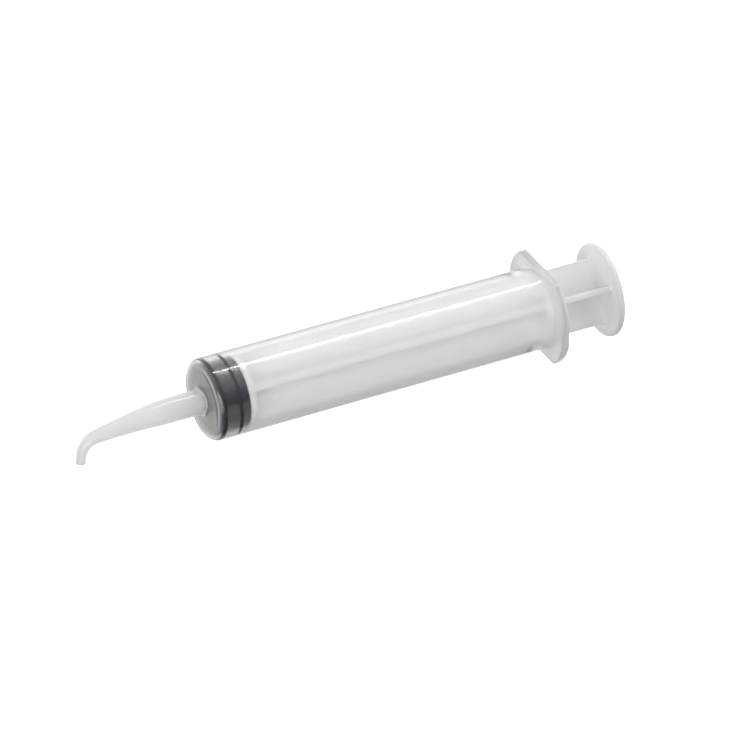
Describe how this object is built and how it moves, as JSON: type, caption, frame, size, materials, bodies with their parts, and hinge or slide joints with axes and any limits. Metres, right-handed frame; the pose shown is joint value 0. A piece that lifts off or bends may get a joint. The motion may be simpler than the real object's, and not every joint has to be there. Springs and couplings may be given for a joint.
{
  "type": "curved tip syringe",
  "caption": "Disposable irrigation syringe: clear barrel with a downward curved tip and finger flange, rubber stopper and cross-ribbed plunger rod with a round thumb rest.",
  "frame": {"origin": "on the barrel's axis, at the middle of the stopper's front sealing rib when the stopper is pushed home, which is the 0 mL line", "axes": "+X along the barrel's axis from the tip to the thumb rest; +Z square to the finger flange's two flats, with the tip bending towards -Z; +Y completes the frame"},
  "size_m": [0.1227, 0.024, 0.0205],
  "materials": {
    "clear_polypropylene": "moulded natural polypropylene, see-through and slightly milky, glossy outside",
    "stopper_rubber": "moulded dark grey synthetic rubber, satin, wetted by silicone oil",
    "milky_polypropylene": "moulded white polypropylene, milky, fine satin"
  },
  "bodies": {
    "barrel": {"barrel": "clear_polypropylene"},
    "stopper": {"stopper": "stopper_rubber"},
    "rod": {"plunger_rod": "milky_polypropylene"}
  },
  "joints": [
    {"name": "plunger_travel", "type": "slide", "parent": "barrel", "child": "stopper", "axis": [1, 0, 0], "range_m": [0, 0.066]},
    {"name": "rod_turn", "type": "hinge", "parent": "stopper", "child": "rod", "pos_m": [0.003, 0, 0], "axis": [1, 0, 0], "continuous": true}
  ]
}
